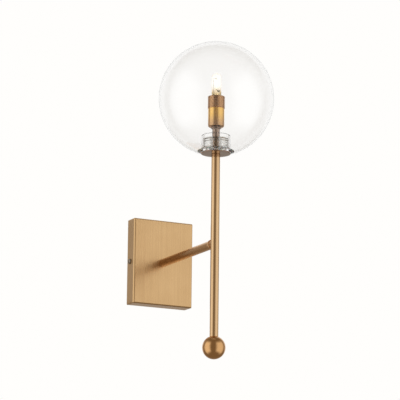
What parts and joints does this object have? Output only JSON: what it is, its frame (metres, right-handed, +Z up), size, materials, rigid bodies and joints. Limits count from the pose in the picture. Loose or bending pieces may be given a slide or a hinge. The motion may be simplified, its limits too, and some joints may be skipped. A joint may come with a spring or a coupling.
{
  "type": "globe wall sconce",
  "caption": "Wall light with a rectangular brushed-brass canopy, a level arm, an upright stem with a ball foot, and a clear glass globe screwed on over a small capsule lamp.",
  "frame": {"origin": "centre of the canopy's back, on the wall plane, midway between the two wall-screw slots", "axes": "+Y into the wall, -Y out into the room along the arm, +Z up along the stem, +X to the viewer's right"},
  "size_m": [0.16, 0.264, 0.4441],
  "materials": {
    "antique_brass_plate": "brushed antique brass, lacquered",
    "antique_brass_tube": "satin antique brass, lacquered",
    "antique_brass_ball": "turned and polished antique brass, lacquered",
    "copper_brown_shell": "brushed, darker antique brass",
    "seat_disc_brass": "polished antique brass",
    "plain_brass": "machined brass, unlacquered",
    "zinc_steel": "bright zinc plated",
    "nickel_screw": "nickel plated",
    "clear_glass": "clear blown glass",
    "quartz_glass": "clear quartz",
    "clear_polycarbonate": "clear moulded polycarbonate",
    "silicone": "translucent silicone",
    "steatite": "unglazed white steatite",
    "terminal_nylon": "natural nylon",
    "spring_bronze": "nickelled spring bronze",
    "brown_sleeving": "brown silicone insulation",
    "blue_sleeving": "blue silicone insulation",
    "tungsten": "drawn tungsten and molybdenum wire"
  },
  "bodies": {
    "fixture": {"wall_bracket": "zinc_steel", "terminal_block": "terminal_nylon", "terminal_inserts": "plain_brass", "terminal_screws": "zinc_steel", "terminal_fixing_screw": "zinc_steel", "earth_terminal": "plain_brass", "canopy": "antique_brass_plate", "canopy_screws": "nickel_screw", "canopy_washer": "zinc_steel", "canopy_nut": "zinc_steel", "arm_nipple": "zinc_steel", "arm_tube": "antique_brass_tube", "arm_end_bush": "plain_brass", "arm_stud": "zinc_steel", "arm_collar": "antique_brass_tube", "stem_tube": "antique_brass_tube", "stem_cross_block": "plain_brass", "stem_foot_bush": "plain_brass", "ball_stud": "zinc_steel", "ball_finial": "antique_brass_ball", "stem_top_bush": "plain_brass", "globe_seat_disc": "seat_disc_brass", "globe_screw_plug": "clear_polycarbonate", "holder_nipple": "zinc_steel", "holder_sleeve": "seat_disc_brass", "holder_ring": "antique_brass_tube", "socket_cup": "antique_brass_tube", "socket_shell": "copper_brown_shell", "holder_nut": "zinc_steel", "holder_bracket": "zinc_steel", "holder_body": "steatite", "holder_screws": "zinc_steel", "holder_contacts": "spring_bronze", "live_lead": "brown_sleeving", "neutral_lead": "blue_sleeving"},
    "globe_seal": {"globe_gasket": "silicone"},
    "globe": {"globe": "clear_glass"},
    "bulb": {"bulb_glass": "quartz_glass", "bulb_filament": "tungsten", "bulb_pins": "tungsten"}
  },
  "joints": [
    {"name": "globe_rise", "type": "slide", "parent": "fixture", "child": "globe_seal", "axis": [0, 0, 1], "range_m": [0, 0.0091]},
    {"name": "globe_turn", "type": "hinge", "parent": "globe_seal", "child": "globe", "pos_m": [0, -0.184, 0.1393], "axis": [0, 0, 1], "range_deg": [0, 1080]},
    {"name": "bulb_pull", "type": "slide", "parent": "fixture", "child": "bulb", "axis": [0, 0, 1], "range_m": [0, 0.02]}
  ],
  "couplings": [
    {"joint": "globe_rise", "follows": "globe_turn", "m_per_rad": 0.00047746}
  ]
}
